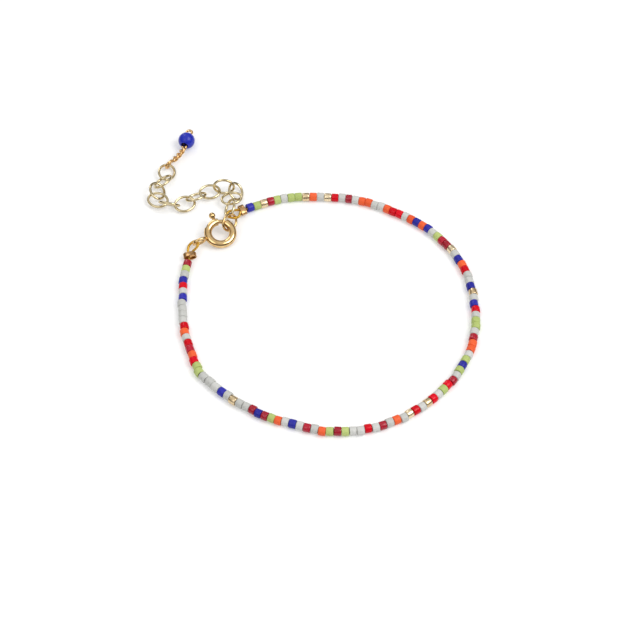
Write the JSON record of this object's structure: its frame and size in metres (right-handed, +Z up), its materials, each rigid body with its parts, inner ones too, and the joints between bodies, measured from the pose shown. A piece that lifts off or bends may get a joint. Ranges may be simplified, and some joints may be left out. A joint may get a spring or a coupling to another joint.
{
  "type": "beaded bracelet",
  "caption": "Slim bracelet of cylinder seed beads on a thread, with crimped wire loops, a spring-ring clasp, an extender chain of oval links and a bead charm.",
  "frame": {"origin": "bottom centre of the box round the closed bracelet as it lies on a table", "axes": "+Z up from the table, +Y away from the viewer towards the extender chain and its charm, +X to the viewer's right"},
  "size_m": [0.0602, 0.0706, 0.0034],
  "materials": {
    "beads": "small glass beads in mixed colours: matt pale grey, orange, lime and cobalt, glossy crimson and red, and gold mirror",
    "crimp_gold": "gold-filled, polished",
    "gimp_gold": "gilt wire wound in a fine close coil",
    "clasp_gold": "gold-filled, polished",
    "chain_gold": "pale gold, polished",
    "charm_gold": "gold-filled wire, polished",
    "charm_blue": "opaque cobalt, glossy"
  },
  "bodies": {
    "bracelet": {"bead_string": "beads", "start_crimp": "crimp_gold", "start_loop": "gimp_gold", "end_crimp": "crimp_gold", "end_loop": "gimp_gold", "clasp_body": "clasp_gold", "catch_ring": "clasp_gold", "chain_link_01": "chain_gold", "chain_link_02": "chain_gold", "chain_link_03": "chain_gold", "chain_link_04": "chain_gold", "chain_link_05": "chain_gold", "chain_link_06": "chain_gold", "chain_link_07": "chain_gold", "chain_link_08": "chain_gold", "chain_link_09": "chain_gold", "chain_link_10": "chain_gold", "chain_link_11": "chain_gold", "chain_link_12": "chain_gold", "charm_bead": "charm_blue", "charm_wire": "charm_gold"},
    "clasp_bolt": {"clasp_bolt": "clasp_gold"}
  },
  "joints": [
    {"name": "clasp_bolt_slide", "type": "hinge", "parent": "bracelet", "child": "clasp_bolt", "pos_m": [-0.01624, 0.00928, 0.00148], "axis": [0.1171, -0.2756, 0.9541], "range_deg": [0, 42], "stiffness_Nm_per_rad": 0.002}
  ]
}
